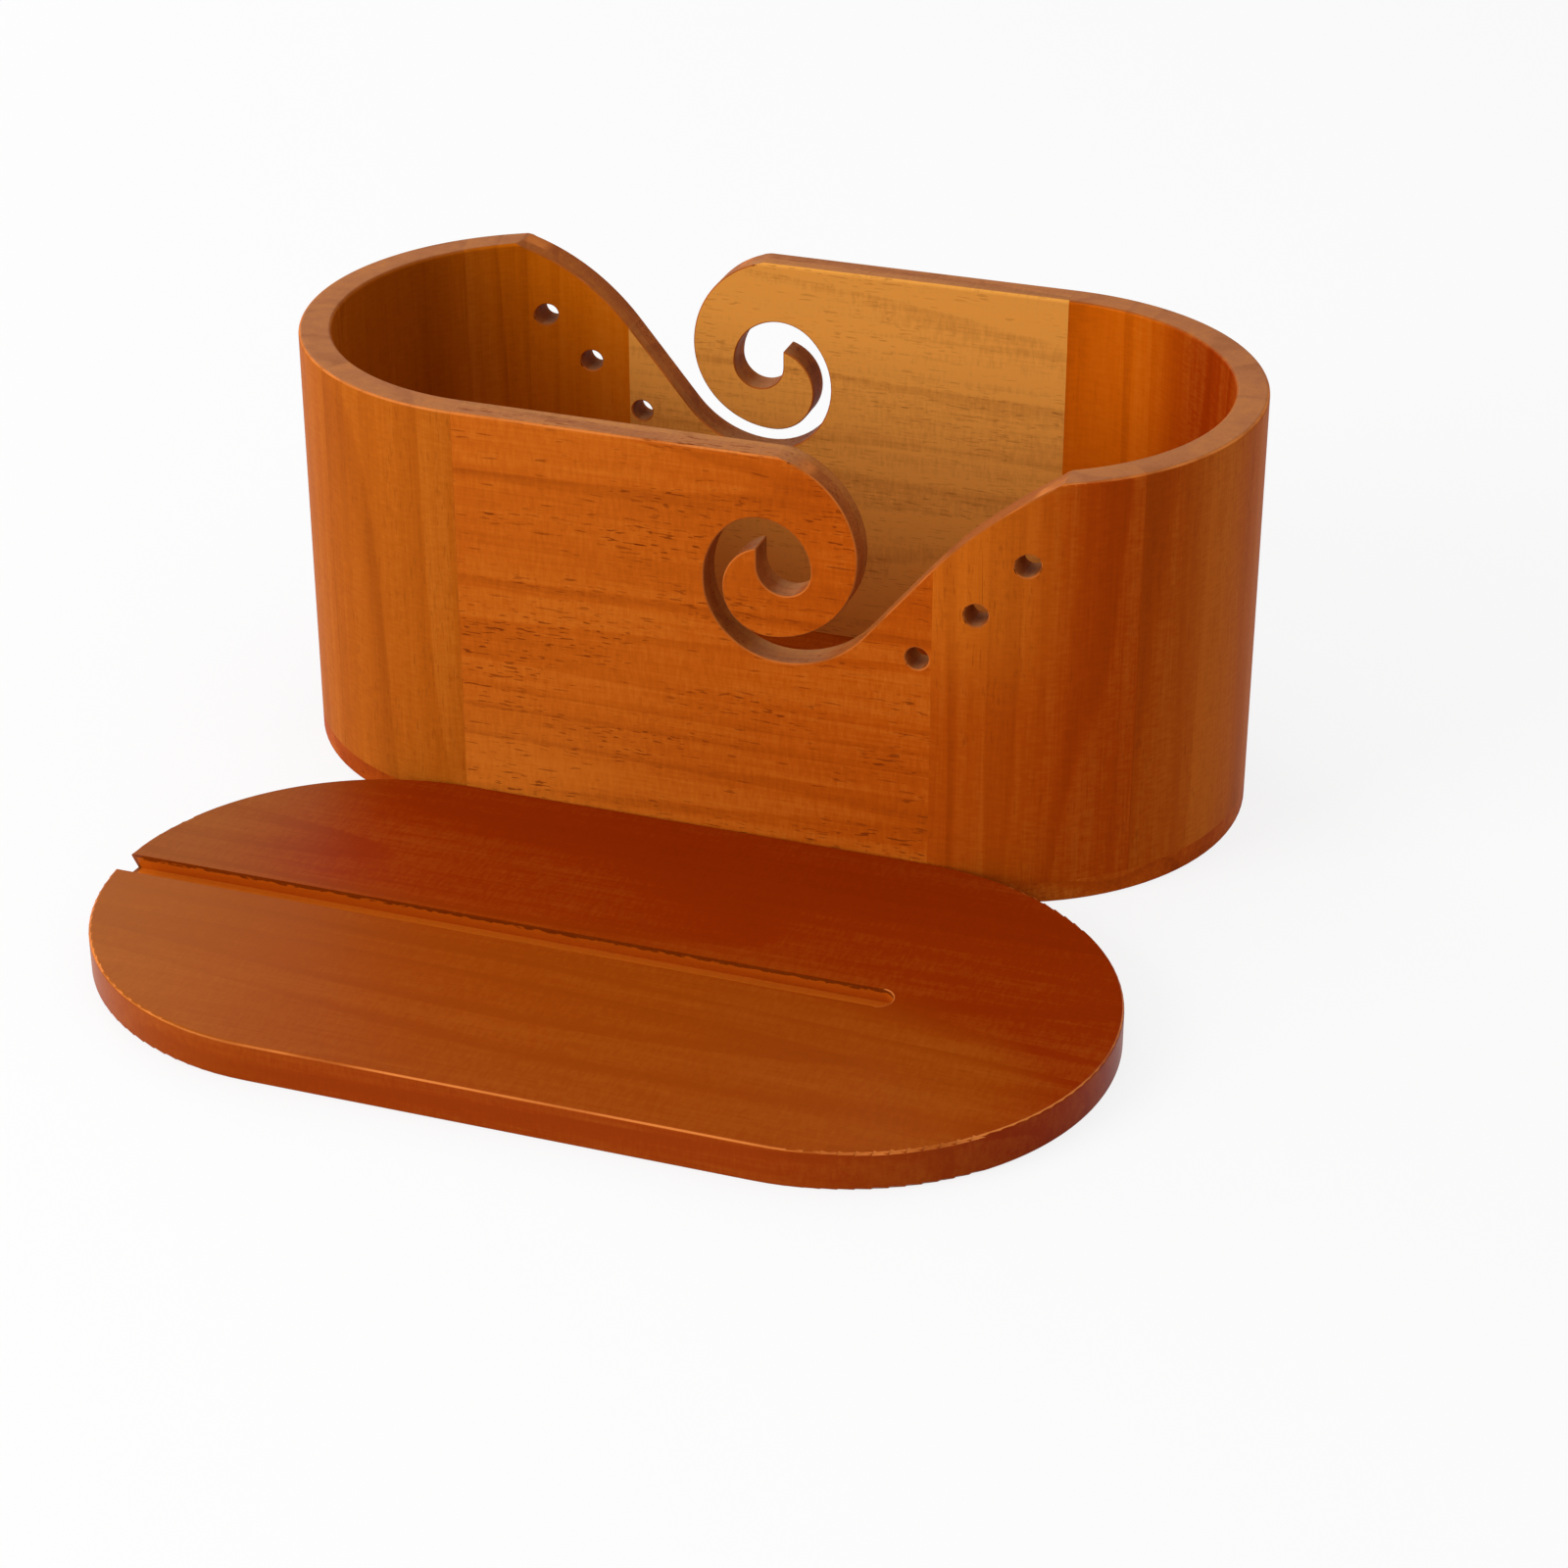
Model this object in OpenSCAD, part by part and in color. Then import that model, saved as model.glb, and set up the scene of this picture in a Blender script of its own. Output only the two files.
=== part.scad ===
// A lidded wooden yarn box. Two flat panels and two rounded ends make the wall,
// a plate closes it below, and a loose cap lies on the table in front.
// The front and the back carry the same scroll cut-out, half a turn apart.

/* [Box] */
// Length over both rounded ends
box_length = 300; // [200:1:420]
// Width over both flat panels, which is also twice the end radius
box_width = 153; // [100:1:220]
// Height from the underside of the bottom to the rim
box_height = 135; // [105:1:200]
// Thickness of every wall piece
wall_thick = 10; // [6:0.5:16]
// Thickness of the bottom plate
bottom_thick = 7; // [4:0.5:14]
// Radius that eases the two edges of the rim
rim_ease = 1.2; // [0.3:0.1:2.5]

/* [Rounded ends] */
// Direction of the first glue line, from the middle of the end
glue_line_a = -44; // [-60:1:-30]
// Direction of the second glue line
glue_line_b = 9; // [-15:1:20]
// Direction of the third glue line
glue_line_c = 50; // [35:1:65]

/* [Scroll] */
// Distance of the scroll centre from the end of the flat panel
scroll_inset = 49.5; // [44:0.5:58]
// Depth of the scroll centre under the rim
scroll_drop = 30; // [29:0.5:34]
// Radius of the scroll where it comes down from the rim
scroll_shoulder = 30.6; // [30.4:0.1:34]
// Radius of the lower half of the scroll
scroll_radius = 27; // [24:0.5:30]
// Radius of the inner curl of the scroll
curl_radius = 14; // [12:0.5:16]
// How far the curled tip reaches past the curl centre
tip_offset = 3.6; // [2:0.2:6]

/* [Slot round the scroll] */
// Free width of the slot under the scroll
slot_low = 7.7; // [5:0.1:10]
// How far the lowest point of the slot is moved to the right of the scroll centre
slot_shift = 4; // [2:0.5:6]
// Radius of the outer slot wall, below and at the left
slot_wall_r = 23.8; // [22:0.1:26]
// Radius of the outer slot wall, over the tip and the eye
slot_top_r = 15.2; // [14:0.1:17]
// Direction in which the two outer slot walls run into each other
slot_join = 136; // [125:1:145]

/* [Slope] */
// Radius of the trough at the right of the scroll
trough_radius = 32; // [29:0.5:36]
// Steepness of the slope that climbs to the rim
slope_angle = 50.6; // [44:0.2:56]
// Length of the straight part of the slope
slope_length = 31; // [22:0.5:36]
// Radius that flattens the slope before the rim
crest_radius = 113.6; // [90:1:140]

/* [Round holes] */
// Diameter of the three holes beside the slope
hole_diameter = 7; // [4:0.2:9]
// Lower hole, how far before the end of the flat panel
hole_low_inset = 4.3; // [4:0.1:8]
// Lower hole, depth under the rim
hole_low_drop = 56.7; // [52:0.1:62]
// Middle hole, how far past the end of the flat panel
hole_mid_past = 12.6; // [8:0.1:14]
// Middle hole, depth under the rim
hole_mid_drop = 40.8; // [39:0.1:48]
// Upper hole, how far past the end of the flat panel
hole_up_past = 26.4; // [22:0.1:28]
// Upper hole, depth under the rim
hole_up_drop = 24.9; // [23:0.1:32]

/* [Cap] */
// Thickness of the cap
cap_thick = 12; // [9:0.5:18]
// How far the cap reaches past the wall all round
cap_overhang = 1; // [0:0.1:3]
// Gap between the box and the cap that lies in front of it
cap_gap = 0.6; // [0.4:0.1:40]
// Depth of the groove in the top of the cap
groove_depth = 6.4; // [4:0.2:8]
// Width of the groove at the top face
groove_width = 9.5; // [7:0.1:14]
// How far the groove leans towards the box on its way down
groove_lean = 3.3; // [0:0.1:5]
// Distance of the groove from the middle line of the cap, towards the box
groove_shift = 1.6; // [-4:0.1:4]
// Distance from the middle of the cap to the closed end of the groove
groove_reach = 87; // [40:1:110]
// Radius that eases the edges of the cap and of the bottom plate
plate_ease = 1; // [0.3:0.1:2.5]

/* [Hidden] */
$fn = 96;
end_r = box_width / 2;
end_x = box_length / 2 - end_r;
inner_r = end_r - wall_thick;
wall_h = box_height - bottom_thick;
cap_r = end_r + cap_overhang;
cap_y = -(end_r + cap_gap + cap_r);
scroll_x = end_x - scroll_inset;
scroll_z = box_height - scroll_drop;
scroll_low = scroll_z - scroll_radius;
shoulder_x = scroll_x + scroll_radius - scroll_shoulder;
curl_z = scroll_low + curl_radius;
tip_x = scroll_x - tip_offset;
slot_floor = scroll_low - slot_low;
slot_wall_x = scroll_x + slot_shift;
slot_wall_z = slot_floor + slot_wall_r;
slot_top_x = slot_wall_x + (slot_wall_r - slot_top_r) * cos(slot_join);
slot_top_z = slot_wall_z + (slot_wall_r - slot_top_r) * sin(slot_join);
eye_radius = (slot_top_x + slot_top_r - tip_x) / 2;
trough_z = slot_floor + trough_radius;
foot_x = slot_wall_x + trough_radius * sin(slope_angle);
foot_z = trough_z - trough_radius * cos(slope_angle);
knee_x = foot_x + slope_length * cos(slope_angle);
knee_z = foot_z + slope_length * sin(slope_angle);
crest_x = knee_x + crest_radius * sin(slope_angle);
crest_z = knee_z - crest_radius * cos(slope_angle);
above = 1.1 * box_height;
arc_steps = 24;
tip_turn = 90 + asin(tip_offset / curl_radius);
rim_turn = asin((box_height - crest_z) / crest_radius);
rim_left = shoulder_x + sqrt(pow(scroll_shoulder, 2) - pow(scroll_drop, 2));
rim_right = crest_x - crest_radius * cos(rim_turn);

// Wall section, standing on the bottom plate, with the two rim edges eased.
module wall_section() {
  translate([0, bottom_thick]) square([wall_thick, wall_h - rim_ease]);
  translate([rim_ease, bottom_thick]) square([wall_thick - 2 * rim_ease, wall_h]);
  for (x = [rim_ease, wall_thick - rim_ease])
    translate([x, box_height - rim_ease]) circle(r = rim_ease);
}

// Points of an arc, without its last one, where the next line or arc starts.
function arc(x, z, r, from, to) = [
  for (i = [0:arc_steps - 1]) let (a = from + (to - from) * i / arc_steps)
    [x + r * cos(a), z + r * sin(a)]
];

// Outline of all that the saw takes away, seen from the front. It comes down
// round the scroll, ends in the eye, and goes back below it and up the slope.
module cut_shape() {
  polygon(concat(
    [[rim_left, above]],
    arc(shoulder_x, scroll_z, scroll_shoulder, asin(scroll_drop / scroll_shoulder), 0),
    arc(scroll_x, scroll_z, scroll_radius, 0, -90),
    arc(scroll_x, curl_z, curl_radius, -90, tip_turn - 360),
    [[tip_x, curl_z + curl_radius * sin(tip_turn)]],
    arc(tip_x + eye_radius, slot_top_z, eye_radius, 180, 360),
    arc(slot_top_x, slot_top_z, slot_top_r, 0, slot_join),
    arc(slot_wall_x, slot_wall_z, slot_wall_r, slot_join, 270),
    arc(slot_wall_x, trough_z, trough_radius, 270, 270 + slope_angle),
    [[foot_x, foot_z]],
    arc(crest_x, crest_z, crest_radius, 90 + slope_angle, 180 - rim_turn),
    [[rim_right, box_height], [rim_right, above]]
  ));
}

// The whole cut-out, driven straight through the front wall.
module scroll_cut() {
  translate([0, -end_r / 2, 0]) rotate([90, 0, 0]) linear_extrude(end_r)
    cut_shape();
}

module hole_at(x, drop) {
  translate([x, -end_r / 2, box_height - drop]) rotate([90, 0, 0])
    cylinder(d = hole_diameter, h = end_r, $fn = 48);
}

module flat_wall() {
  translate([-end_x, -end_r, 0]) rotate([90, 0, 90])
    linear_extrude(2 * end_x) wall_section();
}

module end_stave(from, to) {
  translate([end_x, 0, 0]) rotate([0, 0, from])
    rotate_extrude(angle = to - from, $fn = 180)
      translate([end_r, 0]) mirror([1, 0]) wall_section();
}

module half_turn() {
  rotate([0, 0, 180]) children();
}

// Half of a plate's section. Its corners are eased below, and above if asked.
module plate_section(radius, thick, both) {
  core = radius - plate_ease;
  heights = both ? [plate_ease, thick - plate_ease] : [plate_ease];
  square([core, thick]);
  translate([0, plate_ease]) square([radius, thick - len(heights) * plate_ease]);
  for (z = heights) intersection() {
    translate([core, z]) circle(r = plate_ease);
    translate([core, 0]) square([plate_ease, thick]);
  }
}

// Plate with two rounded ends, lying on z = 0.
module stadium(radius, thick, both) {
  for (x = [-end_x, end_x]) translate([x, 0, 0])
    rotate_extrude($fn = 180) plate_section(radius, thick, both);
  translate([-end_x, 0, 0]) rotate([90, 0, 90]) linear_extrude(2 * end_x) {
    plate_section(radius, thick, both);
    mirror([1, 0]) plate_section(radius, thick, both);
  }
}

module box_bottom() {
  color("#7d4a2b") stadium(end_r, bottom_thick, false);
}

module front_panel() {
  color("#a9683c") difference() {
    flat_wall();
    scroll_cut();
    hole_at(end_x - hole_low_inset, hole_low_drop);
  }
}

module back_panel() {
  half_turn() front_panel();
}

module right_stave_1() {
  color("#9a5c36") difference() {
    end_stave(-90, glue_line_a);
    scroll_cut();
    hole_at(end_x + hole_mid_past, hole_mid_drop);
    hole_at(end_x + hole_up_past, hole_up_drop);
  }
}

module right_stave_2() {
  color("#8f5431") end_stave(glue_line_a, glue_line_b);
}

module right_stave_3() {
  color("#95582f") end_stave(glue_line_b, glue_line_c);
}

module right_stave_4() {
  color("#9c5f39") end_stave(glue_line_c, 90);
}

module left_stave_1() {
  half_turn() right_stave_1();
}

module left_stave_2() {
  half_turn() right_stave_2();
}

module left_stave_3() {
  half_turn() right_stave_3();
}

module left_stave_4() {
  half_turn() right_stave_4();
}

// Loose cap, lying flat on the table against the front of the box.
module cap() {
  color("#5e3420") translate([0, cap_y, 0]) difference() {
    stadium(cap_r, cap_thick, true);
    translate([0, 0, cap_thick]) groove();
  }
}

// Groove in the top of the cap: open at the left end, rounded at the other,
// with both walls leaning towards the box on their way down.
module groove() {
  lean = atan(groove_lean / groove_depth);
  half = groove_width / 2 * cos(lean);
  translate([0, groove_shift, 0]) intersection() {
    rotate([lean, 0, 0]) translate([0, 0, -3 * groove_depth])
      linear_extrude(4 * groove_depth)
        polygon(concat([[-box_length, half], [-box_length, -half]],
                       arc(groove_reach - half, 0, half, -90, 90),
                       [[groove_reach - half, half]]));
    translate([-box_length, -box_width, -groove_depth])
      cube([2 * box_length, 2 * box_width, 2 * groove_depth]);
  }
}

box_bottom();
front_panel();
back_panel();
right_stave_1();
right_stave_2();
right_stave_3();
right_stave_4();
left_stave_1();
left_stave_2();
left_stave_3();
left_stave_4();
cap();
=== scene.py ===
import math
import bmesh
import bpy
from mathutils import Matrix, Vector


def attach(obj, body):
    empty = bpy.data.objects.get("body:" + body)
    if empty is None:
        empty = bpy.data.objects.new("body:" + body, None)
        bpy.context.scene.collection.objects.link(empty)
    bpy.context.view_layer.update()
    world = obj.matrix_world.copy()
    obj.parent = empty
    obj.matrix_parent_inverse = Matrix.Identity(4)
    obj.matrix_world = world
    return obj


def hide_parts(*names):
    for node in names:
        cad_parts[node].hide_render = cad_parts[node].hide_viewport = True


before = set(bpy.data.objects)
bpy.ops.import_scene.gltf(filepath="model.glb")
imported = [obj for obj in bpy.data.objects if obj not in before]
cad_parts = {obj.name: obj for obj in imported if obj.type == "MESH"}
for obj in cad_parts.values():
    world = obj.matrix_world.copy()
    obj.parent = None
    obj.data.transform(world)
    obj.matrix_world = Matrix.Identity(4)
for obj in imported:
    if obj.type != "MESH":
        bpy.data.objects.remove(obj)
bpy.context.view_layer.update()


# Wraps a socket, so that shader maths can be written as plain expressions.
class Sock:
    def __init__(self, tree, socket):
        self.tree, self.socket = tree, socket

    def math(self, operation, *values):
        return nodeIn(self.tree, "ShaderNodeMath", {"operation": operation}, values)

    def __add__(self, other):
        return self.math("ADD", self, other)

    def __radd__(self, other):
        return self.math("ADD", other, self)

    def __sub__(self, other):
        return self.math("SUBTRACT", self, other)

    def __rsub__(self, other):
        return self.math("SUBTRACT", other, self)

    def __mul__(self, other):
        return self.math("MULTIPLY", self, other)

    def __rmul__(self, other):
        return self.math("MULTIPLY", other, self)

    def __truediv__(self, other):
        return self.math("DIVIDE", self, other)

    def __rtruediv__(self, other):
        return self.math("DIVIDE", other, self)

    def absolute(self):
        return self.math("ABSOLUTE", self)

    def root(self):
        return self.math("SQRT", self)

    def fraction(self):
        return self.math("FRACT", self)

    def atLeast(self, lowest):
        return self.math("MAXIMUM", self, lowest)

    def below(self, limit):
        return self.math("LESS_THAN", self, limit)

    def clamp(self):
        return nodeIn(self.tree, "ShaderNodeClamp", {}, (self,))

    # Smooth step from low to high
    def between(self, low, high, outLow=0.0, outHigh=1.0):
        return nodeIn(self.tree, "ShaderNodeMapRange", {"interpolation_type": "SMOOTHSTEP"},
                      (self, low, high, outLow, outHigh))


# Any node: its type, its settings, and the values or links of its sockets.
def nodeIn(tree, kind, settings, values=(), output=0):
    node = tree.nodes.new(kind)
    for name, value in settings.items():
        setattr(node, name, value)
    pairs = values.items() if isinstance(values, dict) else enumerate(values)
    for key, value in pairs:
        if isinstance(value, Sock):
            tree.links.new(value.socket, node.inputs[key])
        else:
            node.inputs[key].default_value = value
    return Sock(tree, node.outputs[output])


def mixColor(tree, factor, first, second, blend="MIX"):
    settings = {"data_type": "RGBA", "blend_type": blend, "clamp_factor": True}
    return nodeIn(tree, "ShaderNodeMix", settings, {0: factor, 6: first, 7: second}, 2)


def shaderOf(tree):
    return next(n for n in tree.nodes if n.type == "BSDF_PRINCIPLED")


# The three numbers of a vector
def partsOf(tree, vector):
    outputs = nodeIn(tree, "ShaderNodeSeparateXYZ", {}, (vector,)).socket.node.outputs
    return [Sock(tree, output) for output in outputs]


def rgba(color, gain=1.0):
    return tuple(min(1.0, c * gain) for c in color[:3]) + (1.0,)


def linear(red, green, blue):
    def one(v):
        v /= 255
        return v / 12.92 if v <= 0.04045 else ((v + 0.055) / 1.055) ** 2.4
    return (one(red), one(green), one(blue))


# Tones of the stained wood; some of them, marked below, are painted light and painted shade
woodTones = {
    "panel": linear(181, 87, 16),
    # The next two tones: painted shade for the front panel's right side, painted light for its lower
    # left
    "panelShade": linear(175, 77, 9),
    "panelLit": linear(194, 103, 26),
    "insideBack": linear(225, 153, 66),
    "insideNear": linear(200, 94, 5),
    "insideLeft": linear(193, 98, 5),
    # The next two tones are painted shade deep inside the rounded ends
    "insideShade": linear(150, 50, 2),
    "insideDeepShade": linear(164, 79, 4),
    "endRight": linear(168, 71, 7),
    "endMiddle": linear(160, 64, 3),
    # Painted shade where the right end turns away from the key light
    "endShade": linear(162, 60, 2),
    # Painted sheen at the grazing right edge of the box
    "endSheen": linear(170, 80, 14),
    "endLeft": linear(168, 84, 14),
    # Painted shade with a greyish painted sheen on the outermost left edge, toning down the key light
    "endShadeSheen": linear(146, 76, 24),
    # Painted light on the upper part of the first right board, near the front seam
    "endLit": linear(187, 93, 17),
    "bottom": linear(166, 68, 6),
    "cap": linear(147, 62, 5),
    # The next three cap tones: painted light at the left end, painted shade on the far side, right end
    # and sides, and a painted reflection on the back-left strip
    "capLit": linear(156, 80, 12),
    "capShade": linear(136, 41, 1),
    "capSheen": linear(142, 71, 14),
    "pore": linear(104, 38, 5),
    "sawn": linear(154, 82, 36),
    "rim": linear(165, 105, 64),
    # Groove tones: floor and wall are lightened as painted light in the groove's shadow; the dark tone
    # is painted shade under its upper edges
    "groove": linear(204, 108, 24),
    "shade": linear(92, 26, 1),
    "grooveWallLit": linear(196, 98, 16),
    "edge": linear(206, 118, 54),
    "scrollEdge": linear(190, 100, 38),
    "capEdge": linear(208, 118, 54),
    "glow": linear(240, 150, 50),
}
# Shape of the box wall, in metres, from the part's source
wall = {"straight": 0.0735, "radius": 0.0765, "thick": 0.010, "low": 0.007, "rim": 0.135,
        "ease": 0.0012, "glueLines": (-90, -44, 9, 50, 90), "arcSteps": 48, "easeSteps": 5}
capShape = {"radius": 0.0775, "middle": -0.1546, "ease": 0.001}
# The groove's room in the cap, with the thin border that its own tones fade over
grooveZone = {"middle": -0.1514, "half": 0.0085, "left": -0.1492, "right": 0.0880,
              "low": 0.0052, "high": 0.0119, "border": 0.0003, "topBorder": 0.0002}

# Where one tone gives way to another. Pairs run from nothing to full, along an axis in
# metres or over the steepness of a face, from 0 to 1.
wallMasks = {"outer": (-0.0065, -0.0055), "flat": (0.25, 0.55), "bare": 0.9,
             "level": (0.85, 0.97), "rim": (0.130, 0.132)}
# The far, right and side masks place painted shade on the cap; the pale mask places painted light at its
# left end; the two back-strip masks place a painted reflection
capMasks = {"steep": (0.2, 0.5), "far": (-0.166, -0.134), "tiltOver": (0.05, 0.15), "tilt": 0.02,
            "right": (0.115, 0.155), "side": 0.6, "pale": (-0.150, -0.04),
            "sheenBack": (-0.152, -0.146), "sheenEnd": (-0.140, -0.085),
            "floor": (0.4, 0.7), "top": (0.006, 0.007)}
frayedShade = {"noise": (0.35, 0.65), "height": (0.0093, 0.0104), "soft": 0.0006, "strength": 0.75}
rubbedRim = {"slope": (0.40, 0.58), "level": (0.84, 0.95), "noise": (0.30, 0.60),
             "strength": (0.25, 1.0)}

# Layers of noise that run with the grain: scale along and across it, seed, detail,
# roughness and distortion
grainLayers = {
    "lyingBands": (1.8, 24.0, 0.0, 2.0, 0.55, 0.0),
    "standingBands": (1.8, 46.0, 0.0, 2.0, 0.55, 0.0),
    "lines": (5.0, 210.0, 3.1, 4.0, 0.62, 0.5),
    "fibres": (55.0, 1300.0, 7.7, 2.0, 0.6, 0.0),
    "mottle": (14.0, 40.0, 11.3, 2.0, 0.55, 0.0),
    "speckle": (1000.0, 280.0, 13.9, 2.0, 0.55, 0.0),
    "rings": (1.5, 15.0, 19.7, 1.0, 0.55, 0.0),
    "dashes": (230.0, 1500.0, 17.9, 1.0, 0.4, 0.0),
    "groups": (16.0, 60.0, 23.3, 2.0, 0.55, 0.0),
    "longDashes": (120.0, 1100.0, 29.1, 1.0, 0.3, 0.0),
    "fray": (260.0, 400.0, 37.0, 2.0, 0.55, 0.0),
    "rubbed": (30.0, 60.0, 41.0, 2.0, 0.55, 0.0),
}
# How strongly each layer darkens or lightens the stain
grainWeights = {"bands": 0.24, "lines": 0.20, "mottle": 0.22, "rings": 0.26, "fibres": 0.40,
                "speckle": 0.50, "glow": 0.6}
grainSpans = {"bands": (0.32, 0.68), "lines": (0.30, 0.72)}
growthRings = {"count": 11.0, "rise": (0.10, 0.46), "fall": (0.46, 0.54), "mean": 0.25}
openPores = {"dashes": (0.62, 0.68), "groups": (0.40, 0.58), "longDashes": (0.69, 0.74),
             "short": 0.7, "long": 0.5, "lining": 0.6}
darkStain = (0.30, 0.14, 0.06, 1.0)
relief = {"strength": 0.12, "depth": 0.0004, "lines": 0.12, "fibres": 0.2,
          "fibreGloss": 0.08, "poreGloss": 0.2}
# A board's finish where its own entry says nothing else
plainLook = {"inside": "insideShade", "fade": None, "insideFade": None, "cloud": None,
             "grain": "x", "shift": (0, 0, 0), "streak": 1.0, "pores": 1.0, "fleck": 1.0,
             "roughness": 0.42, "specular": 0.012, "zone": "wall", "bent": False}


# One board's finish. The grain runs along x on lying boards and along z on standing ones.
# Inside faces, sawn faces and the groove get tones of their own.
class Wood:
    def __init__(self, name, look):
        self.look = look
        self.material = bpy.data.materials.new(name)
        self.material.use_nodes = True
        self.tree = self.material.node_tree
        self.place = nodeIn(self.tree, "ShaderNodeTexCoord", {}, (), 3)
        self.x, self.y, self.z = partsOf(self.tree, self.place)
        facing = nodeIn(self.tree, "ShaderNodeTexCoord", {}, (), 1)
        self.nx, self.ny, self.nz = partsOf(self.tree, facing)

    def layer(self, name):
        along, across, seed, detail, rough, distortion = grainLayers[name]
        lying = self.look["grain"] == "x"
        scale = (along, across, across) if lying else (across, across, along)
        moved = nodeIn(self.tree, "ShaderNodeVectorMath", {"operation": "ADD"},
                       (self.place, tuple(s + seed for s in self.look["shift"])))
        drawn = nodeIn(self.tree, "ShaderNodeVectorMath", {"operation": "MULTIPLY"}, (moved, scale))
        return nodeIn(self.tree, "ShaderNodeTexNoise", {},
                      {"Vector": drawn, "Scale": 1.0, "Detail": detail, "Roughness": rough,
                       "Distortion": distortion})

    def tinted(self, color, mask, tone):
        return mixColor(self.tree, mask, color, rgba(woodTones[tone]))

    def faded(self, color, fade):
        return self.tinted(color, self.x.between(*fade[1:]), fade[0]) if fade else color

    # 1 on the inside of the wall: the distance from the oval's middle line tells
    def insideMask(self):
        past = (self.x.absolute() - wall["straight"]).atLeast(0.0)
        reach = (past * past + self.y * self.y).root()
        return 1 - reach.between(*(wall["radius"] + d for d in wallMasks["outer"]))

    def wallColor(self, inner):
        look = self.look
        # On some boards the fade and the cloud are painted shade and painted light, as the boards table
        # marks
        color = self.faded(rgba(woodTones[look["tone"]]), look["fade"])
        if look["cloud"]:
            tone, xStart, xFull, zStart, zFull = look["cloud"]
            color = self.tinted(color, self.x.between(xStart, xFull) * self.z.between(zStart, zFull),
                                tone)
        lining = self.faded(rgba(woodTones[look["inside"]]), look["insideFade"])
        color = mixColor(self.tree, inner, color, lining)
        flat = 1 - self.nz.absolute() if look["bent"] else self.ny.absolute()
        cut = 1 - flat.between(*wallMasks["flat"])
        bare = self.tinted(rgba(woodTones["sawn"]), self.nz.between(*wallMasks["level"]), "rim")
        return mixColor(self.tree, cut * wallMasks["bare"], color, bare)

    # Painted shade darkens the cap on the far side by the box, at the right end and down its sides;
    # painted light pales its left end, and a painted reflection lightens the back strip at the left
    def capColor(self, grooved):
        m = capMasks
        side = 1 - self.nz.absolute().between(*m["steep"])
        depth = ((self.y + self.x.between(*m["tiltOver"]) * m["tilt"]).between(*m["far"])
                 + self.x.between(*m["right"]) + side * m["side"]).clamp()
        color = self.tinted(rgba(woodTones["cap"]), depth, "capShade")
        color = self.tinted(color, (1 - self.x.between(*m["pale"])) * (1 - depth), "capLit")
        paintedSheen = self.y.between(*m["sheenBack"]) * (1 - self.x.between(*m["sheenEnd"])) * (1 - side)
        color = self.tinted(color, paintedSheen, "capSheen")
        return mixColor(self.tree, grooved, color, self.grooveColor())

    def grooveMask(self):
        g = grooveZone
        rim = g["border"]
        across = (self.y - g["middle"]).absolute()
        return ((1 - across.between(g["half"] - rim, g["half"]))
                * self.x.between(g["left"] - rim, g["left"])
                * (1 - self.x.between(g["right"], g["right"] + rim))
                * self.z.between(g["low"] - rim, g["low"])
                * (1 - self.z.between(g["high"] - g["topBorder"], g["high"])))

    # Floor and walls lightened as painted light in the groove's own shadow, with a frayed painted shade
    # just under the upper edges
    def grooveColor(self):
        f = frayedShade
        color = self.tinted(rgba(woodTones["grooveWallLit"]), self.nz.between(*capMasks["floor"]),
                            "groove")
        start = self.layer("fray").between(*f["noise"], *f["height"])
        return self.tinted(color, (self.z - start).between(0.0, f["soft"]) * f["strength"], "shade")

    # Where the stain has rubbed thin along a rounded upper edge
    def rubbedMask(self):
        r = rubbedRim
        patchy = self.layer("rubbed").between(*r["noise"], *r["strength"])
        return self.nz.between(*r["slope"]) * (1 - self.nz.between(*r["level"])) * patchy

    # Growth rings show as a few long thin lines
    def ringMask(self):
        phase = (self.layer("rings") * growthRings["count"]).fraction()
        return phase.between(*growthRings["rise"]) * (1 - phase.between(*growthRings["fall"]))

    # Short dark dashes along the grain, in loose groups
    def poreMask(self, inner):
        p = openPores
        dashes = self.layer("dashes").between(*p["dashes"])
        groups = self.layer("groups").between(*p["groups"])
        longDashes = self.layer("longDashes").between(*p["longDashes"])
        opened = 1.0 if inner is None else 1.0 - inner * p["lining"]
        amount = dashes * groups * p["short"] + longDashes * p["long"]
        return (amount * self.look["pores"] * opened).clamp()

    # Lays the grain over the stain and links the shader
    def finish(self, color, inner=None):
        look, w = self.look, grainWeights
        bandLayer = "lyingBands" if look["grain"] == "x" else "standingBands"
        bands = self.layer(bandLayer).between(*grainSpans["bands"])
        lines = self.layer("lines").between(*grainSpans["lines"])
        fibres, mottle, speckle = (self.layer(n) for n in ("fibres", "mottle", "speckle"))
        streaks = ((bands - 0.5) * w["bands"] + (lines - 0.5) * w["lines"]
                   + (mottle - 0.5) * w["mottle"] + (growthRings["mean"] - self.ringMask()) * w["rings"])
        flecks = (fibres - 0.5) * w["fibres"] + (speckle - 0.5) * w["speckle"]
        tonal = streaks * look["streak"] + flecks * look["fleck"]
        darker = mixColor(self.tree, (0 - tonal).clamp(), (1, 1, 1, 1), darkStain)
        color = mixColor(self.tree, 1.0, color, darker, "MULTIPLY")
        color = self.tinted(color, tonal.clamp() * w["glow"], "glow")
        pores = self.poreMask(inner)
        color = self.tinted(color, pores, "pore")
        height = lines * relief["lines"] + fibres * relief["fibres"] - pores
        gloss = look["roughness"] + fibres * relief["fibreGloss"] + pores * relief["poreGloss"]
        bump = nodeIn(self.tree, "ShaderNodeBump", {},
                      {"Strength": relief["strength"], "Distance": relief["depth"], "Height": height})
        shader = shaderOf(self.tree)
        self.tree.links.new(color.socket, shader.inputs["Base Color"])
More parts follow.
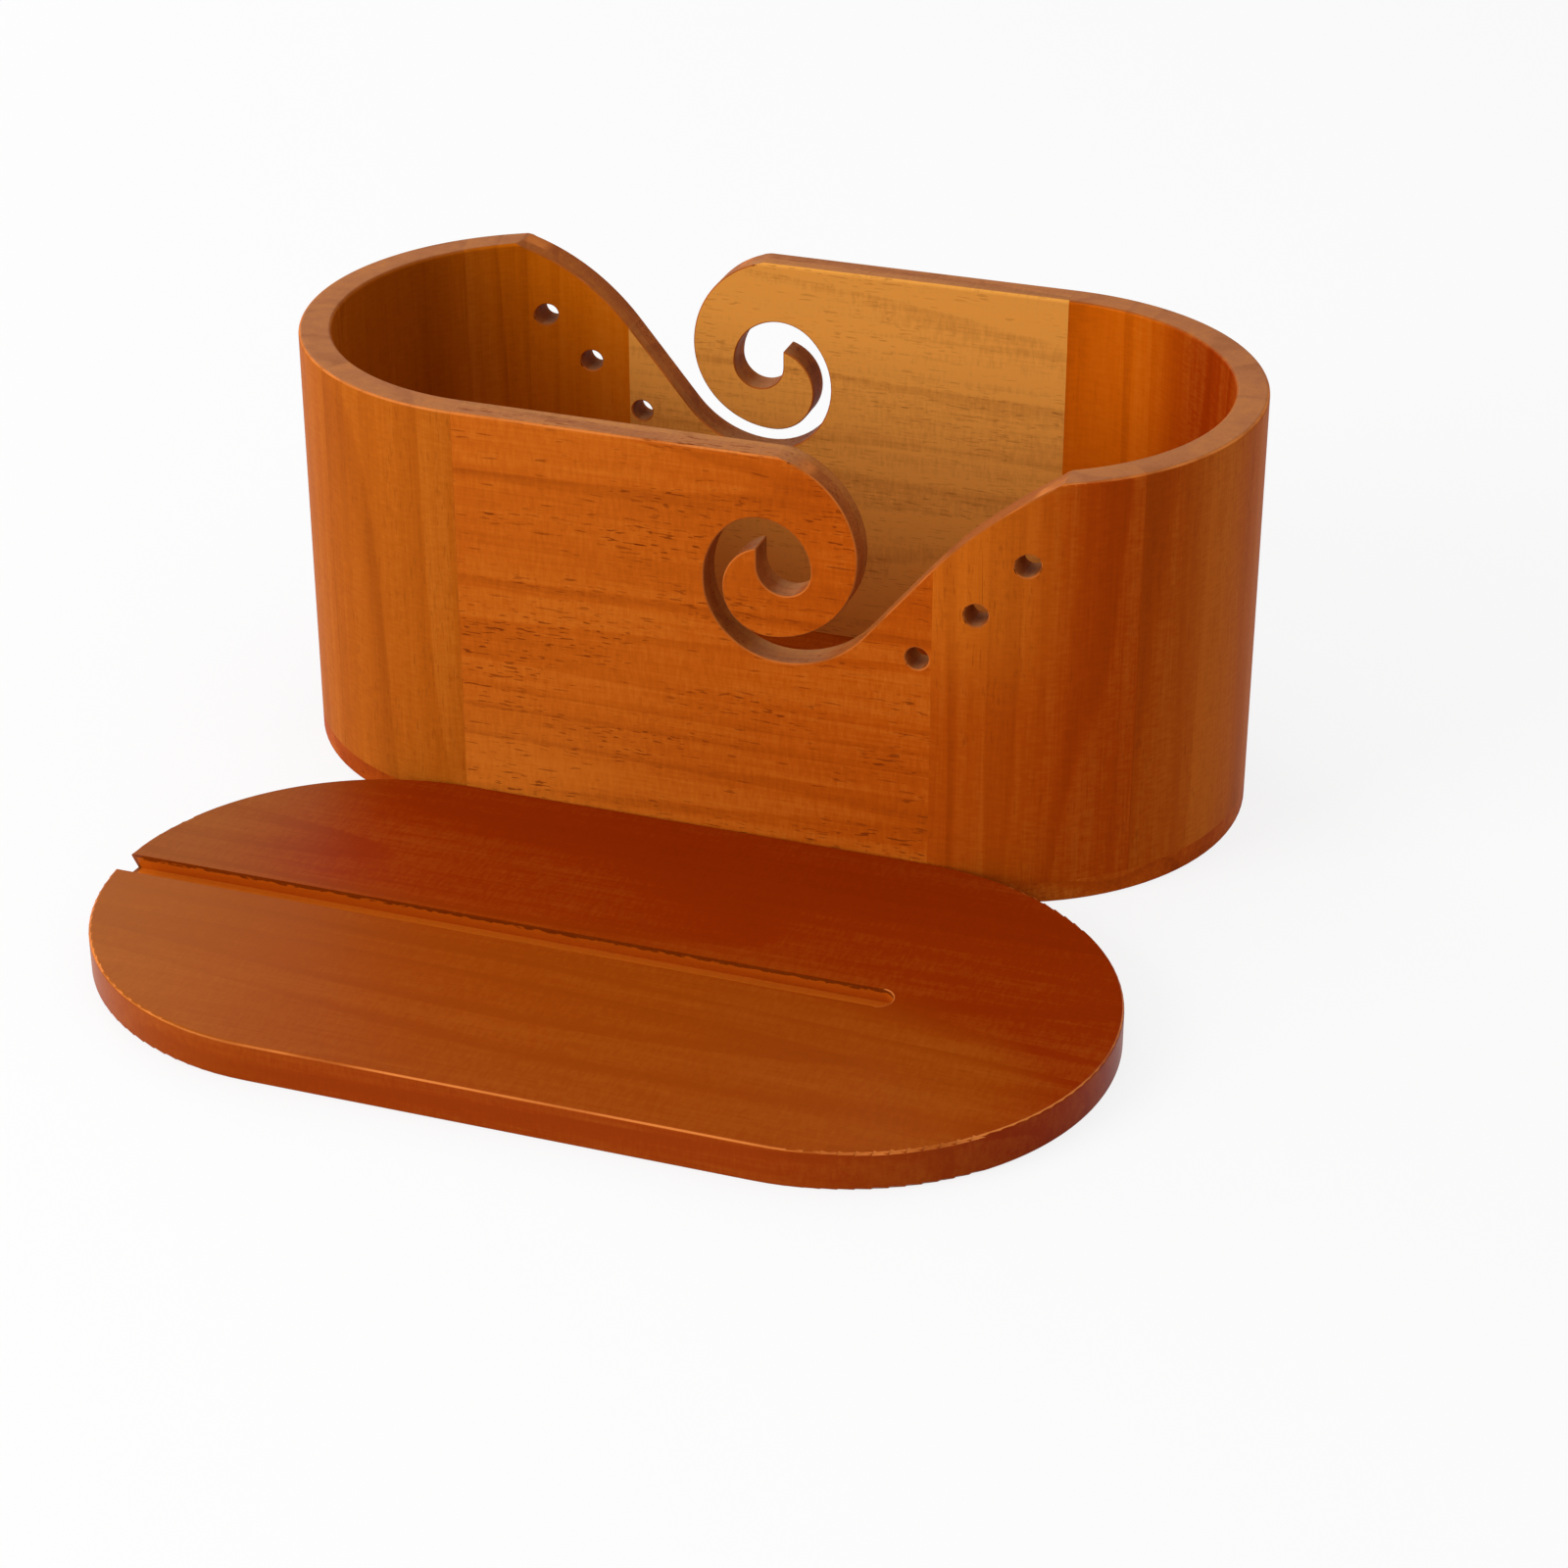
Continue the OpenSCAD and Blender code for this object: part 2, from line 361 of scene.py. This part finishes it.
        self.tree.links.new(gloss.socket, shader.inputs["Roughness"])
        self.tree.links.new(bump.socket, shader.inputs["Normal"])
        shader.inputs["Specular IOR Level"].default_value = look["specular"]
        return self.material


def wallWood(name, look):
    wood = Wood(name, look)
    inner = wood.insideMask()
    worn = wood.rubbedMask() * wood.z.between(*wallMasks["rim"]) * (1 - inner)
    return wood.finish(wood.tinted(wood.wallColor(inner), worn, "edge"), inner)


def capWood(name, look):
    wood = Wood(name, look)
    grooved = wood.grooveMask()
    worn = wood.rubbedMask() * (1 - grooved) * wood.z.between(*capMasks["top"])
    return wood.finish(wood.tinted(wood.capColor(grooved), worn, "capEdge"))


def plateWood(name, look):
    return Wood(name, look).finish(rgba(woodTones[look["tone"]]))


# The worn edge, where the stain has rubbed thin
wornEdge = {"scale": 60.0, "detail": 3.0, "patches": (0.35, 0.65), "dark": 0.62,
            "roughness": 0.5, "specular": 0.02}


def edgeMaterial(name, tone):
    material = bpy.data.materials.new(name)
    material.use_nodes = True
    tree = material.node_tree
    shader = shaderOf(tree)
    place = nodeIn(tree, "ShaderNodeTexCoord", {}, (), 3)
    patches = nodeIn(tree, "ShaderNodeTexNoise", {},
                     {"Vector": place, "Scale": wornEdge["scale"], "Detail": wornEdge["detail"]})
    color = mixColor(tree, patches.between(*wornEdge["patches"]), rgba(tone, wornEdge["dark"]),
                     rgba(tone))
    tree.links.new(color.socket, shader.inputs["Base Color"])
    shader.inputs["Roughness"].default_value = wornEdge["roughness"]
    shader.inputs["Specular IOR Level"].default_value = wornEdge["specular"]
    return material


finishes = {"wall": wallWood, "cap": capWood, "plate": plateWood}
edges = {"wall": edgeMaterial("rubbedEdge", woodTones["scrollEdge"]),
         "cap": edgeMaterial("rubbedCapEdge", woodTones["capEdge"])}

# Where a board's tone changes: the second tone, and where it starts and is full, in metres
# The two fades below are painted shade: the inside darkens towards each far end of the box
rightInnerShade = ("insideShade", 0.094, 0.122)
leftInnerShade = ("insideDeepShade", -0.100, -0.132)
# Boards of the rounded ends; the bent ones run from one glue line to the next
standing = {"grain": "z", "streak": 0.72, "pores": 0.3, "fleck": 0.7}
bent = {**standing, "bent": True}
# One entry per board: tone, grain and how far its pattern is moved
boards = {
    # Front panel: the fade darkens it to the right as painted shade; the cloud lightens its lower left
    # as painted light
    "front_panel": dict(tone="panel", fade=("panelShade", -0.03, 0.06), inside="insideBack",
                        cloud=("panelLit", 0.0, -0.06, 0.060, 0.015), streak=0.85),
    "back_panel": dict(tone="panel", inside="insideBack", shift=(1.3, 0.4, 0.2), streak=0.9),
    # First right board: the fade darkens it to the right as painted shade; the cloud lightens its upper
    # left as painted light
    "right_stave_1": dict(tone="endRight", fade=("endShade", 0.088, 0.118), inside="insideDeepShade",
                          cloud=("endLit", 0.118, 0.088, 0.055, 0.100), shift=(0.2, 0.1, 2.0),
                          **standing),
    # Second right board: the fade lightens its outer edge as a painted sheen
    "right_stave_2": dict(tone="endMiddle", fade=("endSheen", 0.133, 0.147), inside="insideDeepShade",
                          shift=(0.7, 0.6, 4.0), **bent),
    "right_stave_3": dict(tone="endMiddle", inside="insideNear", insideFade=rightInnerShade,
                          shift=(1.2, 0.1, 6.0), **bent),
    "right_stave_4": dict(tone="endRight", inside="insideNear", insideFade=rightInnerShade,
                          shift=(2.2, 0.9, 8.0), **bent),
    "left_stave_1": dict(tone="endRight", inside="insideLeft", insideFade=leftInnerShade,
                         shift=(3.2, 0.3, 1.0), **standing),
    "left_stave_2": dict(tone="endMiddle", inside="insideLeft", insideFade=leftInnerShade,
                         shift=(4.7, 0.2, 3.0), **bent),
    # Third left board: the fade darkens its outermost edge as painted shade with a greyish painted sheen
    "left_stave_3": dict(tone="endLeft", fade=("endShadeSheen", -0.138, -0.150), inside="insideDeepShade",
                         shift=(5.2, 0.5, 5.0), **bent),
    "left_stave_4": dict(tone="endLeft", shift=(6.2, 0.7, 7.0), **bent),
    "box_bottom": dict(tone="bottom", shift=(0.5, 3.1, 0.0), zone="plate", pores=0.5),
    "cap": dict(tone="cap", shift=(0.9, 2.2, 0.6), pores=0.15, streak=0.3, fleck=0.4,
                roughness=0.27, specular=0.028, zone="cap"),
}
# Rounding of the sawn edges, and how edges that stay as they are get told apart
easing = {"width": 0.0004, "segments": 2, "sharpAngle": 28.0, "jointGap": 0.00004,
          "jointTurn": 0.05, "outlineGap": 0.0002, "slant": 0.1, "mergeGap": 2e-6,
          "flatAngle": 0.2, "flatWeight": 100}


# True for an edge that lies in a glued face, which stays sharp
def onGlueJoint(node, edge):
    a, b = (v.co for v in edge.verts)
    tiny = easing["jointGap"]
    if node in ("cap", "box_bottom"):
        return False
    if max(abs(p.z - wall["low"]) for p in (a, b)) < tiny:
        return True
    if abs(abs(a.x) - wall["straight"]) < tiny and abs(a.x - b.x) < tiny:
        return True
    if "stave" in node:
        side = 1 if node.startswith("right") else -1
        turns = [math.degrees(math.atan2(p.y * side, p.x * side - wall["straight"])) for p in (a, b)]
        return any(max(abs(t - g) for t in turns) < easing["jointTurn"] for g in wall["glueLines"])
    return False


# True where the CAD solid is already rounded, along the rim and the cap's outline
def onEasing(node, edge):
    if node == "box_bottom":
        return True
    if node == "cap":
        reach = [math.hypot(max(abs(v.co.x) - wall["straight"], 0), v.co.y - capShape["middle"])
                 for v in edge.verts]
        return max(reach) > capShape["radius"] - capShape["ease"] - easing["outlineGap"]
    return any(min(abs(f.normal.y), abs(f.normal.z)) > easing["slant"] for f in edge.link_faces)


# A geometry-nodes tree with named inputs; gives back the tree and its input sockets by name
def newTree(name, inputs):
    tree = bpy.data.node_groups.new(name, "GeometryNodeTree")
    tree.is_modifier = True
    keys = {}
    for label, kind in inputs.items():
        keys[label] = tree.interface.new_socket(label, in_out="INPUT", socket_type=kind).identifier
    tree.interface.new_socket("Geometry", in_out="OUTPUT", socket_type="NodeSocketGeometry")
    return tree, keys


# Bends a board's section round the end of the box, between two glue lines
def bentBoardTree():
    sizes = ("Radius", "Thickness", "Low", "Rim", "Ease", "Start", "Sweep", "Straight", "Turn")
    inputs = {label: "NodeSocketFloat" for label in sizes}
    inputs["Finish"] = "NodeSocketMaterial"
    tree, keys = newTree("bentBoard", inputs)
    source = tree.nodes.new("NodeGroupInput")
    given = {s.name: Sock(tree, s) for s in source.outputs if s.name}
    tall = given["Rim"] - given["Low"]
    section = nodeIn(tree, "GeometryNodeCurvePrimitiveQuadrilateral", {"mode": "RECTANGLE"},
                     {"Width": given["Thickness"], "Height": tall})
    # The swept section's second axis points down, so the rim lies below zero
    across = partsOf(tree, nodeIn(tree, "GeometryNodeInputPosition", {}))[1]
    rounded = nodeIn(tree, "GeometryNodeFilletCurve", {"mode": "POLY"},
                     {"Curve": section, "Radius": across.below(0.0) * given["Ease"],
                      "Count": wall["easeSteps"]})
    bend = nodeIn(tree, "GeometryNodeCurveArc", {"mode": "RADIUS"},
                  {"Resolution": wall["arcSteps"], "Radius": given["Radius"] - given["Thickness"] / 2,
                   "Start Angle": given["Start"], "Sweep Angle": given["Sweep"]})
    level = nodeIn(tree, "GeometryNodeSetCurveNormal", {"mode": "Z_UP"}, {"Curve": bend})
    swept = nodeIn(tree, "GeometryNodeCurveToMesh", {},
                   {"Curve": level, "Profile Curve": rounded, "Fill Caps": True})
    lift = nodeIn(tree, "ShaderNodeCombineXYZ", {}, (given["Straight"], 0.0, given["Low"] + tall / 2))
    turn = nodeIn(tree, "ShaderNodeCombineXYZ", {}, (0.0, 0.0, given["Turn"]))
    placed = nodeIn(tree, "GeometryNodeTransform", {}, {"Geometry": swept, "Translation": lift})
    turned = nodeIn(tree, "GeometryNodeTransform", {}, {"Geometry": placed, "Rotation": turn})
    real = nodeIn(tree, "GeometryNodeRealizeInstances", {}, {"Geometry": turned})
    done = nodeIn(tree, "GeometryNodeSetMaterial", {}, {"Geometry": real, "Material": given["Finish"]})
    end = tree.nodes.new("NodeGroupOutput")
    tree.links.new(done.socket, end.inputs[0])
    return tree, keys


bentBoard, bentKeys = bentBoardTree()


def bentMesh(node, finish):
    number = int(node[-1])
    start, stop = (math.radians(g) for g in wall["glueLines"][number - 1:number + 1])
    holder = bpy.data.objects.new("bending", bpy.data.meshes.new("bending"))
    bpy.context.scene.collection.objects.link(holder)
    bender = holder.modifiers.new("bend", "NODES")
    bender.node_group = bentBoard
    values = {"Radius": wall["radius"], "Thickness": wall["thick"], "Low": wall["low"],
              "Rim": wall["rim"], "Ease": wall["ease"], "Start": start, "Sweep": stop - start,
              "Straight": wall["straight"], "Turn": 0.0 if node.startswith("right") else math.pi,
              "Finish": finish}
    for label, value in values.items():
        bender[bentKeys[label]] = value
    ready = holder.evaluated_get(bpy.context.evaluated_depsgraph_get())
    mesh = bpy.data.meshes.new_from_object(ready)
    bpy.data.objects.remove(holder)
    return mesh


# Merges the mesh and marks the sharp edges, and those that get rounded
def markEdges(node, mesh, isBent):
    shape = bmesh.new()
    shape.from_mesh(mesh)
    bmesh.ops.remove_doubles(shape, verts=shape.verts, dist=easing["mergeGap"])
    if isBent:
        bmesh.ops.recalc_face_normals(shape, faces=shape.faces)
    else:
        bmesh.ops.dissolve_limit(shape, angle_limit=math.radians(easing["flatAngle"]),
                                 verts=shape.verts, edges=shape.edges)
    weights = shape.edges.layers.float.new("bevel_weight_edge")
    for face in shape.faces:
        face.smooth = True
    for edge in shape.edges:
        sharp = (len(edge.link_faces) != 2
                 or edge.calc_face_angle(0.0) > math.radians(easing["sharpAngle"]))
        edge.smooth = not sharp
        plain = isBent or onGlueJoint(node, edge) or onEasing(node, edge)
        edge[weights] = 1.0 if sharp and edge.is_convex and not plain else 0.0
    shape.to_mesh(mesh)
    shape.free()


def easeEdges(piece):
    bevel = piece.modifiers.new("easedEdges", "BEVEL")
    bevel.limit_method = "WEIGHT"
    bevel.width = easing["width"]
    bevel.segments = easing["segments"]
    bevel.material = 1
    bevel.use_clamp_overlap = False


# A bent board is swept; a sawn one is a copy of the CAD solid's own mesh
def dressBoard(node, settings):
    look = {**plainLook, **settings}
    name = node + "_wood"
    finish = finishes[look["zone"]](name, look)
    mesh = bentMesh(node, finish) if look["bent"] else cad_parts[node].data.copy()
    mesh.name = name
    piece = bpy.data.objects.new(name, mesh)
    bpy.context.scene.collection.objects.link(piece)
    markEdges(node, mesh, look["bent"])
    mesh.materials.clear()
    mesh.materials.append(finish)
    if not look["bent"]:
        mesh.materials.append(edges["cap" if node == "cap" else "wall"])
        easeEdges(piece)
    level = piece.modifiers.new("flatFaces", "WEIGHTED_NORMAL")
    level.keep_sharp = True
    level.weight = easing["flatWeight"]
    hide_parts(node)
    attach(piece, "cap" if node == "cap" else "box")


for node, settings in boards.items():
    dressBoard(node, settings)
print("boards dressed:", len(boards))


# Room: a pale floor that keeps a soft shadow, and plain studio light
room = {"floorSize": 12.0, "floorTone": 0.82, "floorWhite": 0.82, "worldLight": 0.58}


# 1 for the camera and for what gloss and glass show
def lightPathMask(tree):
    rays = tree.nodes.new("ShaderNodeLightPath")
    camera, glossy, through = (Sock(tree, rays.outputs[n]) for n in
                               ("Is Camera Ray", "Is Glossy Ray", "Is Transmission Ray"))
    return (camera + glossy + through).clamp()


def makeFloor():
    mesh = bpy.data.meshes.new("floor")
    h = room["floorSize"] / 2
    mesh.from_pydata([(-h, -h, 0), (h, -h, 0), (h, h, 0), (-h, h, 0)], [], [(0, 1, 2, 3)])
    floor = bpy.data.objects.new("floor", mesh)
    bpy.context.scene.collection.objects.link(floor)
    material = bpy.data.materials.new("paleFloor")
    material.use_nodes = True
    tree = material.node_tree
    tree.nodes.clear()
    tone = room["floorTone"]
    matt = nodeIn(tree, "ShaderNodeBsdfDiffuse", {}, {"Color": (tone, tone, tone, 1)})
    white = nodeIn(tree, "ShaderNodeEmission", {}, {"Color": (1, 1, 1, 1), "Strength": 1.0})
    both = nodeIn(tree, "ShaderNodeMixShader", {},
                  (lightPathMask(tree) * room["floorWhite"], matt, white))
    out = tree.nodes.new("ShaderNodeOutputMaterial")
    tree.links.new(both.socket, out.inputs["Surface"])
    mesh.materials.append(material)


def makeWorld():
    world = bpy.data.worlds.new("studio")
    bpy.context.scene.world = world
    world.use_nodes = True
    tree = world.node_tree
    tree.nodes.clear()
    strength = lightPathMask(tree).between(0.0, 1.0, room["worldLight"], 1.0)
    light = nodeIn(tree, "ShaderNodeBackground", {}, {"Color": (1, 1, 1, 1), "Strength": strength})
    out = tree.nodes.new("ShaderNodeOutputWorld")
    tree.links.new(light.socket, out.inputs["Surface"])


# Soft square lamps, all turned towards one point of the box; sizes in metres, power in watts
lampAim = (0.0, -0.05, 0.05)
lamps = {
    "key": {"place": (-1.15, -1.4, 0.85), "size": 1.0, "power": 25.0},
    "fill": {"place": (1.4, -1.0, 0.9), "size": 1.4, "power": 0.5},
    "top": {"place": (-0.2, 0.0, 1.9), "size": 1.4, "power": 6.5},
    "sheen": {"place": (-1.2, 0.98, 0.85), "size": 0.6, "power": 4.5},
}


def makeLamp(name, setting):
    data = bpy.data.lights.new(name, "AREA")
    data.size = setting["size"]
    data.energy = setting["power"]
    lamp = bpy.data.objects.new(name, data)
    lamp.location = setting["place"]
    towards = Vector(lampAim) - Vector(setting["place"])
    lamp.rotation_euler = towards.to_track_quat("-Z", "Y").to_euler()
    bpy.context.scene.collection.objects.link(lamp)


makeFloor()
makeWorld()
for name, setting in lamps.items():
    makeLamp(name, setting)
print("room and lamps made")

# Camera, from the photograph's vanishing lines: place in metres, angles in degrees, the
# focal length in pixels of the 1600 pixel frame, the sensor in millimetres
shot = {"place": (0.34516, -0.99838, 0.56574), "azimuth": 18.93, "elevation": 28.79,
        "focal": 3837.2, "frame": 1600.0, "sensor": 36.0, "nearest": 0.01}


def makeCamera():
    azimuth, elevation = math.radians(shot["azimuth"]), math.radians(shot["elevation"])
    back = Vector((math.sin(azimuth) * math.cos(elevation),
                   -math.cos(azimuth) * math.cos(elevation), math.sin(elevation)))
    right = Vector((0, 0, 1)).cross(back).normalized()
    up = back.cross(right)
    data = bpy.data.cameras.new("camera")
    data.sensor_fit = "HORIZONTAL"
    data.sensor_width = shot["sensor"]
    data.lens = shot["focal"] / shot["frame"] * shot["sensor"]
    data.clip_start = shot["nearest"]
    camera = bpy.data.objects.new("camera", data)
    turn = Matrix((right, up, back)).transposed().to_4x4()
    camera.matrix_world = Matrix.Translation(shot["place"]) @ turn
    bpy.context.scene.collection.objects.link(camera)
    bpy.context.scene.camera = camera


makeCamera()
bpy.context.scene.view_settings.view_transform = "Standard"
